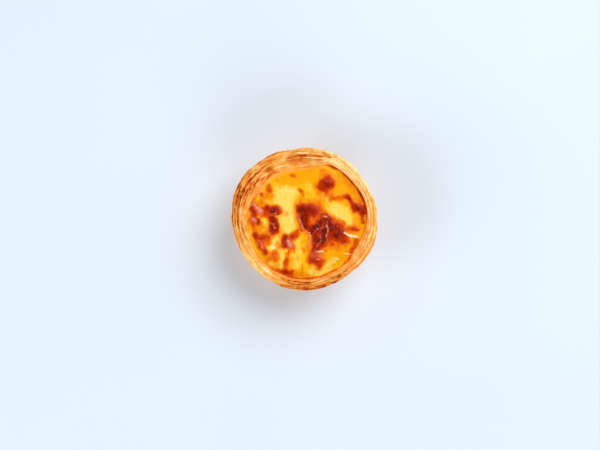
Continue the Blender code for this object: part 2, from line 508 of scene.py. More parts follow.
def sheets(angle, across, pitch, wander, seed):
    """How far sheets of one size stand out there, from about -1 to 1, and how deep in a slit the point is."""
    place = across / pitch + seed
    place += wander * (around(angle, 1.7, across / (8 * pitch) + seed) + 0.25 * around(angle, 6, seed + 40))
    sheet = floor(place)
    share = place - sheet

    def stands(number):
        return 0.75 * around(angle, 3.3, 7.7 * number + seed) + 0.4 * around(angle, 11, 3.1 * number + 90)

    change = smooth(0.8, 1.0, share)
    level = stands(sheet) * (1 - change) + stands(sheet + 1) * change
    depth = smooth(-0.3, 0.3, around(angle, 5, 1.9 * sheet + 300 + seed))
    slit = exp(-(((share - 0.9) / 0.1) ** 2)) * depth
    swelling = share * (1 - smooth(0.82, 0.98, share))
    return 0.7 * level + 0.5 * swelling - 0.8 * slit, slit


def sheet_relief(angle, across):
    """Broad and fine sheets together, and how deep in a slit of either the point is."""
    broad, broad_slit = sheets(angle, across, BROAD_PITCH, 0.8, 0)
    fine, fine_slit = sheets(angle, across, FINE_PITCH, 0.9, 57)
    strength = smooth(-0.6, 0.35, around(angle, 3, across / (4 * MM) + 11))
    return 0.75 * broad + 0.6 * strength * fine, max(broad_slit, strength * fine_slit)


print("relief at one place:", [round(value, 2) for value in sheet_relief(1.0, 40 * MM)])

# %% [markdown]
# ## The case
# The real case is a thick-walled cup. A cylinder scaled into a cone would give the wall but not the parted
# rim, so the profile is turned: underside, wall with a slight belly, rounded rim, inner wall, and a cavity
# that the custard fills. The points are closest together on the wall and the rim, where the sheets show.

# %% Case profile
WALL_POINTS = 56
CASE = (
    Corner(0, 0, 22),
    Corner(0.945 * BASE, 0, 3),
    Corner(0.99 * BASE, 0.35 * MM, 3, 0.3),
    Corner(1.01 * BASE, 1.3 * MM, WALL_POINTS, 0.8),
    Corner(0.83 * RIM, 0.44 * HEIGHT, WALL_POINTS, 1.0),
    Corner(0.955 * RIM, 0.84 * HEIGHT, 10, 1.1),
    Corner(0.982 * RIM, 0.9 * HEIGHT, 8, 1.2),
    Corner(0.965 * RIM, 0.92 * HEIGHT, 9, 1.4),
    Corner(0.93 * RIM, 0.925 * HEIGHT, 9, 1.4, 0.15),
    Corner(0.89 * RIM, 0.925 * HEIGHT, 9, 1.3, 0.4),
    Corner(0.862 * RIM, 0.915 * HEIGHT, 11, 1.1, 0.75),
    Corner(0.844 * RIM, 0.87 * HEIGHT, 6, 0.7, 1),
    Corner(CUSTARD_LINE, 0.81 * HEIGHT, 3, 0, 1),
    Corner(0.5 * (CUSTARD_LINE + FLOOR_RADIUS) + 2 * MM, 0.42 * HEIGHT, 2, 0, 0.45),
    Corner(FLOOR_RADIUS + 1.5 * MM, FLOOR_HEIGHT + 2.5 * MM, 1, 0, 0.05),
    Corner(FLOOR_RADIUS, FLOOR_HEIGHT, 5),
    Corner(0, FLOOR_HEIGHT, 0),
)


def wall_radius(height):
    """The case's mean outer radius at a height: the profile's own corners, joined by straight lines."""
    corners = [(corner.height, corner.radius) for corner in CASE[2:7]]
    return float(np.interp(height, *zip(*corners)))


case, case_layers = turned(CASE, steps=400)
print("case points:", len(case.verts))

# %% [markdown]
# The points are then moved: out of round, in where the wall slumped, and along their own normals for the
# sheets. The slumped wall also sinks towards the custard. On two sides a sheet folded over and baked smooth,
# so the relief is weaker there. The underside only moves up, so that the tart still stands on a flat face;
# its faint spiral is the end of the rolled dough.

# %% Case relief
SMOOTH_SIDES = ((28, 54, 0.75), (222, 28, 0.85))
SMOOTH_RISE = 1.1 * MM
SHEET_DEPTH = 0.5 * MM
SLOPE = 0.24
RIM_WANDER = ((0.3, 9, 30), (0.16, 26, 31))
CREST_WAVES = ((0.5, 2.5, 70), (0.25, 9, 71))
SPIRAL_PITCH, SPIRAL_DEPTH = 2.6 * MM, 0.22 * MM
WALL_TOAST, BASE_TOAST = 0.56, 0.66


def calm(angle):
    """How rough the rim is there: 1 where the sheets parted, less where one sheet folded over."""
    return 1 - bumps(angle, SMOOTH_SIDES, 3)


def wall_toast(angle, height):
    """How baked the wall is at a height, going over into the rim's own toast at the top."""
    toast = WALL_TOAST + 0.12 * around(angle, 2, 8) - 0.1 * smooth(0.15, 0.6, height / HEIGHT)
    return toast + (toast_round(angle) - toast) * smooth(0.55, 0.93, height / HEIGHT)


def underside(x, y):
    """How far up the spiral goes at a place under the base, and how baked it is there."""
    radius, angle = hypot(x, y), atan2(y, x)
    turns = radius / SPIRAL_PITCH + angle / (2 * pi)
    groove = 0.5 + 0.5 * cos(2 * pi * turns + around(angle, 2, 5))
    fade = smooth(0, 4 * MM, radius) * smooth(BASE, 0.85 * BASE, radius)
    toast = BASE_TOAST + 0.1 * groove + 0.08 * noise.noise(Vector((x, y, 0)) / (6 * MM))
    return SPIRAL_DEPTH * groove * fade, toast


def shape_case(shape, layers):
    for point in shape.verts:
        x, y, z = point.co
        radius = hypot(x, y)
        if radius < WELD:
            point[layers["toast"]] = BASE_TOAST
            continue
        angle = atan2(y, x)
        on_top = smooth(0.8 * HEIGHT, 0.93 * HEIGHT, z)
        relief, slit = sheet_relief(angle, point[layers["across"]])
        rough = point[layers["rough"]] * (1 - on_top * (1 - calm(angle)))
        push = point.normal * (relief * rough * SHEET_DEPTH)
        fallen = slump(angle) * point[layers["inside"]]
        radius *= 1 + (outline(angle) - 1) * min(z / CUSTARD_HEIGHT, 1)
        radius += waves(angle, RIM_WANDER) * MM * on_top - fallen
        rise = waves(angle, CREST_WAVES) * MM + SMOOTH_RISE * (1 - calm(angle)) - SLOPE * max(fallen, 0)
        toast = wall_toast(angle, z)
        # Slits are painted darker, which is painted shade, and sheets that stand out are painted paler, which
        # is painted highlight.
        toast += (slit * (0.35 + on_top * (slit_shade(angle) - 0.35)) - 0.12 * relief) * min(rough, 1)
        lift = on_top * rise
        if z < WELD:
            lift, toast = underside(x, y)
        point[layers["toast"]] = toast
        point.co = Vector((radius * cos(angle), radius * sin(angle), z + lift)) + push


shape_case(case, case_layers)
brown_the_rim(case, case_layers["toast"])
finished("pastry_wall", case, pastry, "pastry_case")

# %% [markdown]
# ## The leaves of the rim
# At the rim the sheets parted into leaves that stand up like the pages of a wet book. Each leaf is a thin
# upright band that runs part of the way round. One could bend a plane and thicken it, but a spun section is
# closed from the start: a small flattened circle, capped, is spun about Z through the leaf's sweep. Then
# each point is moved, so that the leaf thins out at both ends, its crest flutters, and it leans outward.
# Where it would stand too far outside the wall, the whole section moves in, so that it keeps its thickness.

# %% Leaf list
Leaf = namedtuple("Leaf", "start sweep radius crest thick lean smoothness", defaults=(0.0,))
LEAVES = (  # degrees, degrees, share of the rim's radius, crest in mm below the top, mm, mm, 0 to 1
    Leaf(92, 40, 0.974, 2.0, 1.5, 0.7, 0.4),
    Leaf(124, 98, 0.978, 2.2, 1.0, 0.7),
    Leaf(78, 62, 0.948, 1.2, 1.6, 0.6, 0.4),
    Leaf(132, 70, 0.952, 1.4, 0.9, 0.6),
    Leaf(118, 40, 0.92, 1.0, 1.4, 0.5, 0.3),
    Leaf(146, 56, 0.926, 0.9, 0.9, 0.5),
    Leaf(104, 52, 0.892, 1.2, 1.6, 0.4, 0.5),
    Leaf(148, 70, 0.9, 0.6, 0.9, 0.4, 0.1),
    Leaf(140, 60, 0.872, 1.2, 0.9, 0.3, 0.2),
    Leaf(96, 60, 0.86, 2.0, 1.6, 0.3, 0.6),
    Leaf(40, 66, 0.962, 1.6, 2.0, 0.6, 0.8),
    Leaf(46, 62, 0.92, 0.9, 1.5, 0.5, 0.5),
    Leaf(56, 58, 0.888, 0.8, 1.0, 0.4, 0.2),
    Leaf(62, 50, 0.86, 1.2, 0.9, 0.2, 0.1),
    Leaf(-30, 104, 0.938, 0.7, 2.3, 0.9, 0.95),
    Leaf(-34, 100, 0.898, 0.5, 2.0, 0.5, 0.9),
    Leaf(-40, 112, 0.87, 0.8, 1.2, 0.2, 0.6),
    Leaf(-56, 62, 0.97, 1.9, 1.6, 0.6, 0.7),
    Leaf(-66, 56, 0.93, 1.0, 1.5, 0.5, 0.5),
    Leaf(-70, 52, 0.893, 0.9, 1.2, 0.2, 0.3),
    Leaf(194, 60, 0.944, 1.2, 3.6, 0.8, 0.95),
    Leaf(178, 40, 0.93, 1.0, 0.9, 0.5, 0.2),
    Leaf(190, 68, 0.894, 0.8, 2.4, 0.3, 0.9),
    Leaf(172, 60, 0.862, 1.3, 1.2, 0.2, 0.6),
    Leaf(236, 84, 0.976, 2.2, 1.4, 0.7, 0.2),
    Leaf(242, 80, 0.948, 1.6, 1.4, 0.6, 0.3),
    Leaf(238, 88, 0.918, 1.1, 1.4, 0.5, 0.3),
    Leaf(246, 74, 0.89, 0.9, 1.3, 0.3, 0.3),
    Leaf(240, 70, 0.866, 1.1, 1.1, 0.2, 0.3),
)
LEAF_HEIGHT = 4.4 * MM
LEAF_STEP = radians(0.75)
print("leaves:", len(LEAVES))


# %% Spin one leaf
def leaf_band(leaf):
    """A closed band in the XZ plane's section, spun from the X axis through the leaf's sweep."""
    band = bmesh.new()
    keys = ("across", "toast", "side", "rise")
    layers = {key: band.verts.layers.float.new(key) for key in keys}
    bmesh.ops.create_circle(band, segments=14, cap_ends=True, radius=1)
    for point in band.verts:
        point[layers["side"]], point[layers["rise"]] = point.co.x, point.co.y
    bmesh.ops.rotate(band, verts=band.verts, cent=(0, 0, 0), matrix=Matrix.Rotation(pi / 2, 3, "X"))
    bmesh.ops.scale(band, verts=band.verts, vec=(leaf.thick * MM / 2, 1, LEAF_HEIGHT / 2))
    bmesh.ops.translate(band, verts=band.verts, vec=(leaf.radius * RIM, 0, 0))
    steps = int(radians(leaf.sweep) / LEAF_STEP)
    bmesh.ops.spin(
        band, geom=band.verts[:] + band.edges[:] + band.faces[:], cent=(0, 0, 0), axis=(0, 0, 1),
        angle=radians(leaf.sweep), steps=steps,
    )
    bmesh.ops.recalc_face_normals(band, faces=band.faces)
    return band, layers


# %% Bake one leaf
def leaf_toast(leaf, angle, side, rise, layer):
    """How baked a leaf is: painted shade darkens it beside its root, painted highlight makes it paler along
    its crest, and it is browner if it is an outer one.
    """
    rough = 1 - leaf.smoothness
    outer = smooth(-0.2, 0.5, side) * smooth(0.93, 0.97, leaf.radius)
    broken = 0.3 + 0.7 * smooth(-0.3, 0.3, around(angle, 10, 180 + layer))
    # Painted shade: the foot of a leaf, down in the slit beside it, is painted darker.
    root = smooth(0.75, 0.0, rise) * (1 - 0.85 * outer) * broken
    toast = toast_round(angle) + 0.2 * around(angle, 5, 140 + layer) + 1.3 * slit_shade(angle) * root
    # Painted highlight: the crest is painted paler.
    toast += smooth(0.5, 1, rise) * (0.18 * rough * around(angle, 20, 160 + layer) - 0.1 - 0.1 * rough)
    return min(toast + 0.1 * smooth(0.94, 0.98, leaf.radius), DARKEST)


# %% Shape one leaf
LEAF_TIP = 16  # degrees over which a leaf thins out
TIP_DROP = 1.8 * MM
SWELL = ((0.5, 6, 0),), ((0.25, 30, 0),)
FLUTTER = ((0.75, 3, 20),), ((0.5, 12, 40), (0.25, 40, 60))
SWAY = ((0.6, 4, 80),), ((0.3, 14, 100), (0.14, 45, 120))


def shape_leaf(band, layers, leaf, layer):
    """Places the band on the rim and makes it uneven, with its own layer of noise."""
    rough = 1 - leaf.smoothness

    def uneven(angle, rows):
        slow, quick = rows
        return waves(angle, slow, layer) + rough * waves(angle, quick, layer)

    for point in band.verts:
        along = (atan2(point.co.y, point.co.x) + 0.01) % (2 * pi) - 0.01
        angle = along + radians(leaf.start)
        share = min(max(along / radians(leaf.sweep), 0), 1)
        taper = smooth(-2, LEAF_TIP, min(share, 1 - share) * leaf.sweep)
        side, rise = point[layers["side"]], point[layers["rise"]]
        thick = leaf.thick * MM / 2 * taper * (1 + uneven(angle, SWELL))
        thick *= 1 - 0.35 * smooth(0, 1, rise) * rough
        z = HEIGHT - leaf.crest * MM - (1 - taper) * TIP_DROP
        z -= (1 - rise) / 2 * LEAF_HEIGHT * (0.3 + 0.7 * taper)
        z += uneven(angle, FLUTTER) * MM * smooth(-0.6, 1, rise)
        radius = leaf.radius * RIM * outline(angle) - slump(angle) * 0.9 * smooth(0.96, 0.8, leaf.radius)
        radius += uneven(angle, SWAY) * MM + leaf.lean * MM * smooth(-1, 1, rise)
        standing = (1.2 + 0.3 * around(angle, 18, layer)) * smooth(-0.7, 0.5, rise) * taper - 0.5
        radius = min(radius + thick, wall_radius(z) * outline(angle) + standing * MM) + (side - 1) * thick
        point.co = (radius * cos(angle), radius * sin(angle), z)
        point[layers["toast"]] = leaf_toast(leaf, angle, side, rise, layer)
        point[layers["across"]] = (leaf.radius * 40 + side * 0.5 + rise * 1.2) * MM


# %% All the leaves as one piece
def rim_leaves():
    whole = bmesh.new()
    for number, leaf in enumerate(LEAVES):
        band, layers = leaf_band(leaf)
        shape_leaf(band, layers, leaf, number * 5.3)
        brown_the_rim(band, layers["toast"])
        add_part(whole, band)
    return whole


finished("rim_leaves", rim_leaves(), pastry, "pastry_case")

# %% [markdown]
# ## Loose flakes
# Flakes come off the outer sheets and hang on by one edge. A flake is a small grid, rounded off by moving
# its corners in, curled, and given its thickness by `solidify`, which closes it. Each is then stood against
# the wall, with its root a little inside it, or laid on the rim, with its own turn, size and curl, and all
# are joined. The random numbers are seeded, so the same flakes come out each time.

# %% One flake
FLAKE_THICKNESS = 0.22 * MM


def flake(chance, length, width, curl):
    """A curled chip with its root edge on the X axis, its free edge towards +Y and its outer face up."""
    chip = bmesh.new()
    bmesh.ops.create_grid(chip, x_segments=9, y_segments=5, size=0.5)
    shift = chance.uniform(0, 50)
    for point in chip.verts:
        x, y = point.co.x, point.co.y + 0.5
        ragged = noise.noise(Vector((x * 5, y * 3, shift)))
        narrow = 1 - 0.35 * y ** 2 + 0.25 * ragged
        reach = (1 - 0.9 * (2 * x) ** 4) * (1 + 0.3 * ragged)
        lift = curl * y ** 2 + 0.12 * noise.noise(Vector((x * 3, y * 2, shift + 9)))
        point.co = (x * narrow * length, y * reach * width, lift * width)
    bmesh.ops.solidify(chip, geom=chip.faces[:], thickness=FLAKE_THICKNESS)
    bmesh.ops.recalc_face_normals(chip, faces=chip.faces)
    return chip


# %% Stand the flakes against the pastry
Flakes = namedtuple("Flakes", "count size curl height band root lean palest")
ON_WALL = Flakes(70, 1.0 * MM, (-0.3, -0.1), (0.1, 0.8), None, 0.15 * MM, (49, 59), 0.42)
ON_RIM = Flakes(60, 0.6 * MM, (0.05, 0.2), (0.93, 0.965), (0.88, 0.95), 0, (-4, 14), 0.28)
LENGTHS, WIDTHS = (2.6, 7.0), (1.0, 2.2)


def standing_flake(chance, kind, angle, number):
    """One flake in that direction, on the wall or on the rim."""
    curl = chance.uniform(*kind.curl)
    shade = chance.uniform(-0.1, 0.08)
    chip = flake(chance, chance.uniform(*LENGTHS) * kind.size, chance.uniform(*WIDTHS) * kind.size, curl)
    toast = chip.verts.layers.float.new("toast")
    across = chip.verts.layers.float.new("across")
    height = chance.uniform(*kind.height) * HEIGHT
    radius = chance.uniform(*kind.band) * RIM if kind.band else wall_radius(height)
    radius = radius * (1 + (outline(angle) - 1) * min(height / CUSTARD_HEIGHT, 1)) - kind.root
    lean = radians(chance.uniform(*kind.lean))
    place = Matrix.Translation((radius * cos(angle), radius * sin(angle), height))
    turn = Matrix.Rotation(angle - pi / 2, 4, "Z") @ Matrix.Rotation(lean, 4, "X")
    turn = turn @ Matrix.Rotation(radians(chance.uniform(-14, 14)), 4, "Z")
    baked = max(wall_toast(angle, height) + shade, kind.palest)
    for point in chip.verts:
        point[toast] = baked + 50 * point.co.y
        point[across] = (number % 13) * 2 * MM + point.co.y
    bmesh.ops.transform(chip, matrix=place @ turn, verts=chip.verts)
    return chip


def flakes():
    """All the flakes. On the rim they are rarer where it is smooth."""
    chance = random.Random(23)
    whole = bmesh.new()
    for number in range(ON_WALL.count + ON_RIM.count):
        kind = ON_WALL if number < ON_WALL.count else ON_RIM
        angle = chance.uniform(0, 2 * pi)
        if kind is ON_RIM and chance.random() > calm(angle):
            continue
        add_part(whole, standing_flake(chance, kind, angle, number))
    return whole


finished("pastry_flakes", flakes(), pastry, "pastry_case")

# %% [markdown]
# ## The custard's marks
# The scorched patches were placed one by one. The same strokes raise the surface, because it is the blisters
# that stand up into the heat and burn. Cream strokes are the pale curd between them, amber strokes are where
# the surface is deep yellow, and speckled strokes are where it is only just catching.

# %% Scorch strokes
MIDDLE_PATCH = (
    Stroke(-0.4, 5.0, 3.8, 4.4, 3.8, 0.9),
    Stroke(-1.0, 3.4, 0.8, -2.6, 3.4, 0.88),
    Stroke(1.4, -2.2, 6.0, -4.6, 3.8, 0.92),
    Stroke(5.0, -5.0, 11.0, -5.6, 3.8, 0.98),
    Stroke(10.8, -0.4, 10.8, -4.0, 2.9, 0.9),
    Stroke(10.5, -5.2, 15.5, -7.8, 4.0, 0.8),
    Stroke(12.6, -2.6, 18.0, -6.8, 2.8, 0.72),
    Stroke(15.5, -8.0, 20.4, -9.8, 2.9, 0.68),
    Stroke(7.6, -8.0, 8.4, -11.2, 4.2, 0.93),
    Stroke(7.2, -12.0, 6.0, -16.0, 2.6, 0.82),
    Stroke(6.0, -16.0, 5.6, -19.6, 2.2, 0.66),
    Stroke(4.6, -21.6, 7.6, -22.6, 2.6, 0.62),
    Stroke(-5.4, -9.6, -1.6, -6.6, 1.9, 0.42),
    Stroke(20.4, -10.6, 23.0, -11.4, 1.4, 0.4),
)
RIGHT_MARKS = (
    Stroke(10.2, 17.0, 12.2, 18.4, 3.5, 0.9),
    Stroke(14.3, 10.4, 22.6, 11.2, 1.5, 0.44),
    Stroke(22.4, 10.4, 25.6, 6.2, 1.7, 0.72),
    Stroke(27.0, 5.8, 29.4, 4.2, 2.6, 0.88),
    Stroke(32.6, 7.4, 31.8, 2.6, 1.3, 0.7),
    Stroke(30.0, 2.6, 30.8, -1.2, 1.5, 0.6),
    Stroke(25.8, -5.6, 27.0, -6.0, 1.9, 0.6),
    Stroke(26.4, -12.0, 24.6, -19.0, 1.5, 0.38),
    Stroke(8.8, 25.2, 10.4, 25.0, 1.0, 0.3),
)
LEFT_MARKS = (
    Stroke(-27.6, 5.4, -25.6, 2.2, 1.8, 0.78),
    Stroke(-26.0, 7.4, -21.2, 2.0, 2.2, 0.4),
    Stroke(-18.8, 5.6, -13.4, 4.0, 1.8, 0.93),
    Stroke(-17.0, 3.6, -16.2, -0.4, 1.7, 0.7),
    Stroke(-15.8, -1.6, -15.4, -5.8, 2.4, 0.95),
    Stroke(-21.4, 4.4, -17.8, 0.6, 1.4, 0.48),
    Stroke(-27.0, -0.6, -25.8, -1.6, 2.3, 0.56),
    Stroke(-24.2, -0.8, -23.8, -2.8, 1.2, 0.8),
    Stroke(-18.8, 15.9, -18.0, 15.1, 1.7, 0.5),
    Stroke(-22.9, 12.9, -22.3, 12.2, 1.5, 0.42),
    Stroke(-15.0, 19.8, -14.2, 19.6, 1.1, 0.26),
    Stroke(-6.0, 22.8, -5.4, 22.4, 1.0, 0.2),
    Stroke(-3.2, 14.4, -0.6, 13.2, 1.1, 0.28),
    Stroke(-10.2, 2.2, -9.6, 3.0, 1.7, 0.2),
)
LOWER_MARKS = (
    Stroke(-25.4, -9.4, -20.6, -17.8, 2.0, 0.7),
    Stroke(-25.4, -8.4, -18.6, -9.2, 1.5, 0.42),
    Stroke(-20.8, -10.4, -19.4, -12.0, 2.2, 0.4),
    Stroke(-10.4, -10.4, -9.8, -13.8, 2.1, 0.93),
    Stroke(-7.4, -12.0, -6.8, -14.4, 2.3, 0.56),
    Stroke(-8.4, -10.4, -4.8, -8.2, 1.8, 0.5),
    Stroke(-15.8, -18.8, -15.2, -20.8, 1.9, 0.4),
    Stroke(-8.8, -21.6, -10.8, -28.0, 1.5, 0.54),
    Stroke(-9.4, -27.8, -6.6, -28.4, 1.5, 0.52),
    Stroke(-12.4, -28.4, -14.6, -27.0, 1.3, 0.34),
)
SCORCHES = MIDDLE_PATCH + RIGHT_MARKS + LEFT_MARKS + LOWER_MARKS
ISLANDS = (Stroke(3.4, -1.3, 4.1, -1.0, 1.7, 0.52),)
print("scorch strokes:", len(SCORCHES))

# %% Colour strokes
CREAMS = (
    Stroke(-9.2, 12.0, -8.4, -7.0, 5.0, 0.95),
    Stroke(-13.5, 13.5, -6.0, 14.2, 2.8, 0.8),
    Stroke(-13.5, 10.5, -11.0, 8.0, 3.6, 0.8),
    Stroke(-20.4, 8.6, -19.0, 7.8, 2.4, 0.6),
    Stroke(16.6, 4.2, 21.4, -1.8, 5.4, 0.95),
    Stroke(8.6, 12.8, 11.8, 12.0, 2.8, 0.8),
    Stroke(1.6, 17.4, 3.2, 15.6, 2.4, 0.5),
    Stroke(-3.8, -10.6, -3.8, -25.6, 2.3, 0.7),
    Stroke(4.6, -27.6, 12.0, -26.2, 2.8, 0.85),
    Stroke(-15.4, -8.8, -15.0, -15.6, 2.9, 0.9),
    Stroke(-12.6, -17.0, -12.2, -24.6, 2.3, 0.85),
    # This stroke is the pale halo round a painted highlight.
    Stroke(-17.2, -14.8, -15.6, -15.4, 2.4, 0.9),
    Stroke(-19.0, -20.4, -16.6, -23.6, 1.9, 0.6),
    Stroke(-21.6, -1.4, -20.4, -5.4, 2.2, 0.7),
    Stroke(10.8, -24.6, 15.0, -21.2, 2.1, 0.7),
)
AMBERS = (
    Stroke(-10.0, 21.0, 4.0, 23.5, 5.0, 1.0),
    Stroke(18.0, 15.5, 27.5, 8.0, 6.0, 1.0),
    Stroke(-10.0, -30.0, 8.0, -31.0, 2.8, 1.0),
    Stroke(12.5, -16.0, 19.0, -20.0, 4.4, 0.95),
    Stroke(-24.0, -14.0, -19.0, -22.0, 2.8, 0.7),
    Stroke(5.4, 1.6, 8.6, 3.6, 1.8, 0.8),
    Stroke(22.0, -15.0, 27.0, -8.0, 3.4, 0.8),
    Stroke(28.0, 0.4, 30.4, -4.0, 2.2, 0.6),
)
BROWNED = (
    Stroke(6.4, 6.0, 8.4, 2.4, 3.2, 0.44),
    Stroke(12.4, -12.6, 19.0, -15.0, 3.0, 0.4),
    Stroke(17.6, -1.0, 22.6, -7.4, 2.4, 0.22),
    Stroke(16.0, -1.6, 20.4, -6.0, 2.4, 0.34),
    Stroke(7.4, 13.4, 13.0, 13.2, 2.6, 0.36),
    Stroke(12.8, 21.4, 9.0, 22.6, 2.4, 0.26),
    Stroke(-5.8, 23.2, -4.6, 22.6, 1.8, 0.4),
    Stroke(-1.8, 14.4, -0.6, 12.0, 1.5, 0.42),
    Stroke(-18.0, 12.0, -22.0, 8.6, 2.6, 0.36),
    Stroke(20.0, 22.0, 30.0, 9.0, 2.6, 0.3),
    Stroke(26.0, -1.0, 28.0, -4.4, 2.0, 0.3),
    Stroke(23.8, -5.4, 25.4, -5.6, 1.6, 0.3),
    Stroke(24.0, -19.6, 26.6, -12.0, 2.0, 0.36),
    Stroke(-27.0, -4.0, -26.0, -8.0, 1.8, 0.4),
    Stroke(-22.6, -5.0, -18.0, -9.6, 2.4, 0.3),
    Stroke(-14.0, -16.0, -18.6, -22.0, 2.2, 0.3),
    Stroke(-7.6, -17.0, -8.8, -22.0, 2.2, 0.34),
    Stroke(0.8, -14.0, 2.6, -22.0, 1.9, 0.3),
    Stroke(-1.4, -16.2, -0.8, -17.0, 1.5, 0.26),
    Stroke(-16.0, -27.0, 4.0, -31.0, 2.0, 0.3),
    Stroke(8.0, -24.6, 10.0, -19.0, 2.0, 0.3),
)
CRUMPLED = (
    Stroke(10.0, -1.6, 8.0, -12.0, 4.6, 1.0),
    Stroke(6.4, -14.0, 5.6, -21.4, 3.2, 1.0),
    Stroke(-16.0, 4.4, -15.4, -5.6, 3.2, 0.9),
    Stroke(-26.6, 4.8, -25.6, -1.2, 3.2, 0.8),
    Stroke(-10.2, -10.6, -7.0, -14.0, 3.0, 0.9),
    Stroke(-24.6, -10.0, -20.6, -17.8, 2.8, 0.8),
)
SPECKLED = (
    Stroke(-25.0, -5.0, -17.0, -20.0, 5.5, 0.7),
    Stroke(-14.0, -25.0, 2.0, -28.0, 4.5, 0.6),
    Stroke(-13.0, -8.0, -4.0, -20.0, 4.5, 0.6),
    Stroke(-4.0, -16.0, 2.0, -26.0, 4.0, 0.5),
    Stroke(-14.0, 4.0, -8.0, 16.0, 5.0, 0.35),
    Stroke(14.0, 6.0, 24.0, -2.0, 4.5, 0.3),
    Stroke(12.0, -14.0, 22.0, -16.0, 5.0, 0.9),
    Stroke(-24.0, 8.0, -16.0, 16.0, 4.0, 0.8),
    Stroke(-2.0, 12.0, 8.0, 9.0, 3.2, 0.7),
    Stroke(2.0, 24.0, 20.0, 20.0, 4.5, 0.5),
)
print("colour strokes:", len(CREAMS) + len(AMBERS) + len(BROWNED) + len(SPECKLED))

# %% [markdown]
# ## Wrinkles in the skin
# Where the skin burnt it also dried and wrinkled. Each wrinkle is a thin raised fold, and its light pinkish
# crest is partly painted highlight. They are chains of short strokes again, but narrow, and they lift the
# surface sharply, so that the lamp catches them. Skins are where a blister's dry skin lies pinkish over the
# custard, with a painted pink-white reflection at their middles. The glint strokes are painted highlights:
# cream-white, raised a little, and kept clear of scorch.

# %% Wrinkle lines
WRINKLES = (
    *chain(0.42, 0.9, (-3.0, 1.6), (-2.7, 0.2), (-1.9, -2.2), (-1.2, -5.2), (1.2, -7.2), (3.0, -7.6)),
    *chain(0.38, 0.9, (9.2, 1.2), (10.8, 1.0), (12.1, 0.0), (11.5, -3.7), (12.0, -6.9), (11.3, -9.6)),
    *chain(0.36, 0.8, (11.3, -9.6), (12.2, -11.6), (10.8, -13.0)),
    *chain(0.4, 0.8, (5.4, -6.8), (7.0, -5.6), (8.8, -5.1), (10.2, -4.6)),
    *chain(0.36, 0.8, (2.4, -7.8), (3.2, -9.4), (4.2, -11.8), (3.4, -14.0)),
    *chain(0.36, 0.8, (7.6, -12.6), (6.8, -14.4), (5.4, -16.6), (4.9, -18.4)),
    *chain(0.34, 0.7, (9.4, -7.8), (8.2, -9.4), (8.6, -11.6), (7.4, -13.4)),
    *chain(0.5, 0.8, (6.6, -18.6), (8.2, -18.0), (9.8, -18.4)),
    *chain(0.4, 0.7, (5.0, -21.2), (7.0, -20.8), (8.4, -21.6)),
    *chain(0.5, 0.8, (-25.9, 7.2), (-24.2, 5.4), (-22.4, 3.4)),
    *chain(0.4, 0.7, (-18.6, 2.6), (-16.2, 2.8), (-14.2, 3.2)),
    *chain(0.4, 0.7, (-17.2, -2.4), (-15.8, -3.4), (-15.2, -4.8)),
)
# Painted highlights: cream-white glints on raised folds.
PAINTED_GLINTS = (
    *chain(0.62, 0.9, (20.9, -7.5), (24.0, -9.0), (27.6, -9.8)),
    *chain(0.4, 0.8, (21.0, -18.4), (22.4, -18.0), (24.2, -18.6)),
    *chain(0.36, 0.8, (6.2, -17.6), (8.7, -17.2), (10.0, -17.8)),
    *chain(1.0, 0.42, (-12.6, 14.2), (-8.0, 14.6), (-4.0, 14.0)),
    *chain(0.4, 0.5, (-9.6, -15.8), (-9.2, -17.4)),
    Stroke(16.4, -21.0, 17.4, -21.4, 0.5, 0.8),
    Stroke(-16.7, -14.9, -16.1, -15.1, 0.8, 1.0),
    Stroke(-15.6, -4.4, -15.2, -4.8, 0.5, 0.5),
)
# Blister skins: pinkish skin of their own, with a painted pink-white reflection at their middles.
SKINS_AND_SHEEN = (
    Stroke(-7.4, -11.8, -6.8, -14.4, 1.7, 0.85),
    Stroke(-27.0, -0.6, -25.8, -1.6, 1.6, 0.8),
    Stroke(-25.8, 6.8, -22.6, 3.6, 1.3, 0.85),
    Stroke(-17.6, 2.4, -15.6, 2.2, 0.9, 0.4),
    Stroke(-18.2, -4.0, -17.4, -7.2, 0.9, 0.4),
    Stroke(-23.8, -11.4, -21.6, -16.0, 0.9, 0.7),
    Stroke(-3.0, 1.4, -1.4, -5.0, 1.0, 0.5),
    Stroke(4.4, -19.2, 8.4, -18.6, 1.2, 0.5),
    Stroke(-15.8, -18.8, -15.4, -20.6, 1.2, 0.32),
    Stroke(-6.6, -20.0, -5.4, -25.0, 1.6, 0.28),
    Stroke(2.6, -11.0, 1.8, -14.6, 0.9, 0.5),
)
print("wrinkle strokes:", len(WRINKLES) + len(PAINTED_GLINTS))

# %% [markdown]
# ## The custard
# The filling is turned like the case: a top that reaches just into the wall, and sides and an underside that
# follow the cavity. A grid would give even squares, but its edge would cut across the wall in steps, and a
# turned top meets the wall all round.

# %% Custard profile
INTO_WALL = 0.5 * MM
TOP_POINTS = 150
CUSTARD = (
    Corner(0, CUSTARD_HEIGHT, TOP_POINTS),
    Corner(CUSTARD_LINE, CUSTARD_HEIGHT, 3, inside=1),
    Corner(0.5 * (CUSTARD_LINE + FLOOR_RADIUS) + 2 * MM, 0.42 * HEIGHT, 2, inside=0.45),
    Corner(FLOOR_RADIUS + 1.5 * MM, FLOOR_HEIGHT + 2.5 * MM, 1, inside=0.05),
    Corner(FLOOR_RADIUS, FLOOR_HEIGHT - 0.1 * MM, 5),
    Corner(0, FLOOR_HEIGHT - 0.1 * MM, 0),
)
custard, custard_layers = turned(CUSTARD, steps=420)
LOOKS = ("scorch", "cream", "amber", "skin_and_sheen", "pale", "crust")
custard_layers |= {key: custard.verts.layers.float.new(key) for key in LOOKS}


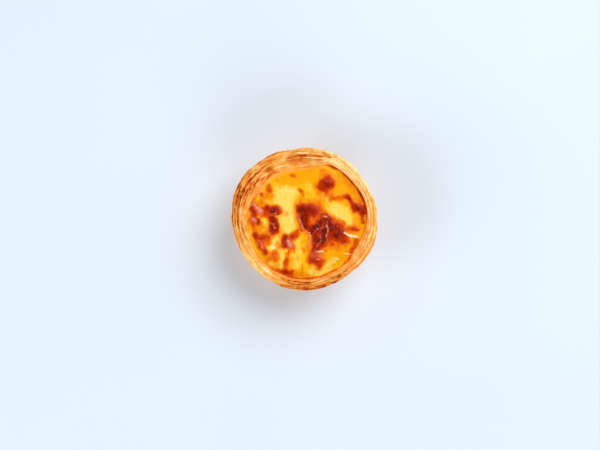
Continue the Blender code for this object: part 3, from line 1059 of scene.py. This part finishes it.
def fill_the_case(shape, layers):
    """Moves the points into the out-of-round cavity, and returns those of the top."""
    top = []
    for point in shape.verts:
        x, y, z = point.co
        radius, angle = hypot(x, y), atan2(y, x)
        inside = point[layers["inside"]]
        if z > CUSTARD_HEIGHT - WELD:
            inside = (radius / CUSTARD_LINE) ** 2.2
            top.append(point)
        radius *= 1 + (outline(angle) - 1) * min(z / CUSTARD_HEIGHT, 1)
        radius += (INTO_WALL - slump(angle)) * inside
        point.co = (radius * cos(angle), radius * sin(angle), z)
    return top


custard_top = fill_the_case(custard, custard_layers)
print("custard points:", len(custard.verts), "of them on top:", len(custard_top))

# %% [markdown]
# ## Painting the custard
# Each point of the top reads the strokes at a place that noise has shifted, because a burnt edge is ragged,
# and more noise thins the scorch here and there. Near the wall there is a thin burnt line where the custard
# caught. Towards the back right this line is darkest, and there its darkness is painted shadow of the rim
# leaning over the custard. At the back there are crumbs of pastry baked into the skin. Hollows in the noise
# are a deeper yellow. The colours are stored on the points, where the shader finds them by name.

# %% Paint the top
SHIFTS = ((5.0, 1.5), (2.0, 0.6), (0.8, 0.16))
# Rows of the line at the wall. The row at 62 degrees is painted shadow of the rim; the others are browning.
CAUGHT_AND_SHADOW = ((62, 22, 0.3), (285, 50, 0.3), (146, 30, 0.12))
x, y = places_of(custard_top)
turn_round = np.arctan2(y, x)
out = np.array([point[custard_layers["across"]] for point in custard_top])
from_wall = (CUSTARD_LINE - out) / MM


def shifted(values, toward):
    """The places to read the strokes at: moved by slow noise, and less by quicker noise."""
    for size, most in SHIFTS:
        values = values + most * speckle(x, y, size, 17.0 * toward + size)
    return values


at_x, at_y = shifted(x, 1), shifted(y, 2)
patchy = 1 + 0.26 * speckle(x, y, 3.0, 5) + 0.16 * speckle(x, y, 1.1, 6)
scorch = painted(SCORCHES, at_x, at_y, 0.25, 1.7) * patchy
scorch *= 1 - painted(ISLANDS, at_x, at_y, 0.1, 1.8)
halo = painted(SCORCHES, at_x, at_y, 0.8, 2.4)
streaks = speckle(1.5 * x, 0.75 * y, 2.8, 7) + 0.3 * speckle(1.3 * x, 0.8 * y, 1.3, 8)
catching = painted(SPECKLED, x, y, 0.4, 1.5) * smooth_all(-0.25, 0.8, streaks)
browned = painted(BROWNED, at_x, at_y, 0.1, 1.8) * (1 + 0.5 * speckle(x, y, 2.6, 15))
# The line at the wall: browning where the custard caught, and towards the back right painted shadow of the
# rim.
caught_and_shadow = 0.22 + 0.7 * bump(turn_round, 28, 26, 3) + bumps(turn_round, CAUGHT_AND_SHADOW)
caught_and_shadow *= smooth_all(1.9, 0.3, from_wall + 1.0 * speckle(x, y, 4, 9))
scorch = np.maximum.reduce([scorch, 0.3 * halo, 0.46 * catching, caught_and_shadow])
scorch = 1 - (1 - scorch) * (1 - 0.72 * browned)
crumbs = bump(turn_round, 112, 46, 4) * smooth_all(4.2, 0.6, from_wall + 2.2 * speckle(x, y, 2.6, 10))
hollows = smooth_all(0.0, -0.5, speckle(x, y, 3.4, 13))
broken = smooth_all(-0.25, 0.35, speckle(x, y, 1.6, 14))
# Wrinkle crests also take the skin's pink as a painted highlight.
wrinkle_and_highlight = painted(WRINKLES, x + 0.4 * (at_x - x), y + 0.4 * (at_y - y), 0.2, 1.9) * (0.45 + 0.55 * broken)
# Painted highlights: the cream-white glints.
pale = painted(PAINTED_GLINTS, x + 0.3 * (at_x - x), y + 0.3 * (at_y - y), 0, 1.9) * (0.6 + 0.4 * broken)
looks = {
    "scorch": scorch * (1 - pale),
    "cream": painted(CREAMS, at_x, at_y, 0.3, 1.6),
    "amber": np.maximum(painted(AMBERS, at_x, at_y, 0.4, 1.6), 0.8 * hollows),
    "skin_and_sheen": np.maximum(painted(SKINS_AND_SHEEN, at_x, at_y, 0.1, 1.9) * (0.7 + 0.3 * broken), 0.8 * wrinkle_and_highlight),
    "pale": pale,
    "crust": crumbs,
}
for name, values in looks.items():
    for point, value in zip(custard_top, values):
        point[custard_layers[name]] = value
print("share of the top that is scorched:", round(float((scorch > 0.5).mean()), 2))

# %% [markdown]
# ## Raising the custard
# The top is a low crown with slow swells, the blisters under the scorches, and the wrinkles. At the wall it
# creeps up a little, as any filling does. Burnt skin is crumpled: the absolute value of noise has sharp
# creases where the noise passes through zero, which makes folds and not hills.

# %% Raise the top
CROWN = 0.8 * MM
SWELLING = 0.9 * MM
FOLD = 0.42 * MM
MENISCUS = 0.6 * MM
SWELLS = ((8.0, 0.36), (3.4, 0.22), (1.5, 0.12), (0.7, 0.05))
puffed = painted(SCORCHES, at_x, at_y, 0.2, 1.7)
settled = smooth_all(0, 3, from_wall)
crumple = (0.5 - abs(speckle(x, y, 1.7, 11))) * 0.5 + (0.5 - abs(speckle(x, y, 0.8, 12))) * 0.14
crumple *= 0.2 + 0.8 * painted(CRUMPLED, at_x, at_y, 0.5, 1.6)
rise = CROWN * (1 - (out / CUSTARD_LINE) ** 4) + SWELLING * puffed * settled
rise += FOLD * (wrinkle_and_highlight + 0.8 * pale) + MENISCUS * smooth_all(2.2, 0, from_wall)
rise += MM * (settled * sum(most * speckle(x, y, size, 13) for size, most in SWELLS) + scorch * crumple)
for point, height in zip(custard_top, rise):
    point.co.z += height
print(f"highest point of the custard: {max(point.co.z for point in custard_top) / MM:.1f} mm")

# %% [markdown]
# ## The custard's finish
# Baked custard is glossy and a little see-through, so light that enters it comes back warmer: that is a
# small constant subsurface weight. Its colour runs from cream curd to amber, and the scorch takes it through
# orange and red-brown to nearly black. One ramp could do that, but separate masks let each step have its own
# softness. Noise breaks the masks up at a scale that the points can't hold. On the blister skins and wrinkles
# the pink and pink-white is partly painted reflection, and the cream-white glints are painted highlights.

# %% Custard material
SCORCH_STEPS = (
    (0.08, 0.34, (244, 138, 4)),
    (0.28, 0.52, (228, 92, 3)),
    (0.46, 0.7, (196, 52, 2)),
    (0.66, 0.92, (166, 36, 2)),
)
CLOUDS, CURDS, SPECKS = 420, 1300, 2600  # cells for each metre


def custard_material():
    constants = {
        "IOR": 1.4, "Specular IOR Level": 0.1, "Coat Roughness": 0.16, "Coat IOR": 1.35,
        "Subsurface Weight": 0.1, "Subsurface Radius": (1.0, 0.4, 0.1), "Subsurface Scale": 1.2 * MM,
    }
    material, surface, place = new_material("baked_custard", constants)
    cloud = place.vector("MULTIPLY", (1.4, 0.8, 1)).noise(CLOUDS, 3, 0.55)
    curd = place.noise(CURDS, 2, 0.6)
    specks = place.noise(SPECKS, 2, 0.5)
    scorch = place.attribute("scorch")
    edge = scorch + (cloud - 0.5) * 0.2 * scorch.between(0.02, 0.3) + (curd - 0.5) * 0.08
    cream = place.attribute("cream") + (cloud - 0.5) * 0.8 + (curd - 0.5) * 0.3
    amber = place.attribute("amber") + (cloud - 0.5) * 0.5
    colour = amber.between(0.1, 0.9).mix(paint(253, 188, 18), paint(250, 168, 0))
    colour = cream.between(0.28, 0.9).mix(colour, paint(253, 210, 84))
    colour = (cream.between(0.8, 1.3) * 0.7).mix(colour, paint(255, 230, 136))
    colour = (curd.between(0.56, 0.72) * 0.35).mix(colour, paint(255, 198, 36))
    colour = stepped(edge, colour, SCORCH_STEPS)
    colour = (edge + (specks - 0.5) * 0.2).between(0.86, 1.08).mix(colour, paint(116, 24, 4))
    crust = place.attribute("crust") + (curd - 0.5) * 0.5
    colour = (crust.between(0.3, 0.8) * 0.7).mix(colour, paint(250, 172, 80))
    # The skins' own pink, and a painted pink-white reflection where the mask is strongest.
    skin_and_sheen = place.attribute("skin_and_sheen") + (specks - 0.5) * 0.2
    colour = (skin_and_sheen.between(0.1, 0.6) * 0.6).mix(colour, paint(238, 118, 70))
    colour = (skin_and_sheen.between(0.45, 0.95) * 0.6).mix(colour, paint(240, 176, 164))
    # The glints: a painted cream-white highlight.
    colour = place.attribute("pale").between(0.2, 0.9).mix(colour, paint(255, 236, 196))
    relief = curd * 0.7 + specks * 0.3
    bumped = place.node(
        "ShaderNodeBump", {}, {"Strength": 0.4, "Distance": 0.14 * MM, "Height": relief}, "Normal"
    )
    links = {
        "Base Color": colour, "Normal": bumped,
        "Roughness": 0.4 + 0.18 * cloud - 0.12 * scorch,
        "Coat Weight": 0.05 + 0.14 * scorch.between(0.4, 0.8),
    }
    wire(surface, links)
    return material


finished("custard_filling", custard, custard_material(), "custard")

# %% [markdown]
# ## Floor
# A pale, slightly cool table. It is part of the stage and not of the tart.

# %% Floor
def pale_floor():
    shape = bmesh.new()
    bmesh.ops.create_grid(shape, x_segments=2, y_segments=2, size=1)
    mesh = bpy.data.meshes.new("floor")
    shape.to_mesh(mesh)
    shape.free()
    material, surface, place = new_material("pale_table", {"Roughness": 0.7, "Specular IOR Level": 0.2})
    shade = place.noise(9, 1)
    wire(surface, {"Base Color": shade.mix(paint(224, 234, 243), paint(229, 239, 248))})
    mesh.materials.append(material)
    floor = bpy.data.objects.new("floor", mesh)
    bpy.context.scene.collection.objects.link(floor)


pale_floor()

# %% [markdown]
# ## Light
# One large soft lamp stands behind the tart's right shoulder, so the tart's own soft shadow falls to the
# left and front, and two low panels open up the shaded side. The world is bright round the horizon and dark
# overhead. Glossy custard seen from above mirrors what is overhead, and a bright sky there would lay a white
# veil over its yellows. The Standard view keeps the colours as they are painted.

# %% Lamps and world
def lamp(name, place, size, watts, colour):
    light = bpy.data.lights.new(name, "AREA")
    light.size, light.energy, light.color = size, watts, colour
    stand = bpy.data.objects.new(name, light)
    stand.location = place
    stand.rotation_euler = (-Vector(place)).to_track_quat("-Z", "Y").to_euler()
    bpy.context.scene.collection.objects.link(stand)


def room(horizon, overhead):
    """A world that is brightest round the horizon, as strengths of a slightly cool white."""
    world = bpy.data.worlds.new("room")
    world.use_nodes = True
    tree = world.node_tree
    direction = Value(tree, tree.nodes.new("ShaderNodeTexCoord").outputs["Generated"])
    height = direction.node("ShaderNodeSeparateXYZ", {}, {0: direction}, "Z")
    strength = horizon + (overhead - horizon) * height.between(0.25, 0.85)
    background = tree.nodes["Background"]
    background.inputs["Color"].default_value = (0.95, 0.975, 1.0, 1)
    tree.links.new(strength.output, background.inputs["Strength"])
    bpy.context.scene.world = world


lamp("key", (0.50, 0.58, 0.85), 0.8, 10.0, (0.975, 0.99, 1.0))
lamp("left panel", (-0.75, -0.30, 0.45), 0.5, 3.2, (0.93, 0.97, 1.0))
lamp("front panel", (0.25, -0.80, 0.45), 0.5, 2.8, (0.94, 0.975, 1.0))
room(horizon=0.85, overhead=0.05)
bpy.context.scene.view_settings.view_transform = "Standard"

# %% [markdown]
# ## Camera
# The camera looks straight down, a little to the left of the tart and in front of it, from about an arm's
# length.

# %% Camera
LENS = 85
SENSOR = 36
FIELD = 310.2 * MM
ASIDE = (-2.3 * MM, -3.4 * MM)
view = bpy.data.cameras.new("camera")
view.lens, view.sensor_width = LENS, SENSOR
camera = bpy.data.objects.new("camera", view)
camera.location = (*ASIDE, HEIGHT + FIELD * LENS / SENSOR)
bpy.context.scene.collection.objects.link(camera)
bpy.context.scene.camera = camera
print(f"camera {camera.location.z:.3f} m above the table")
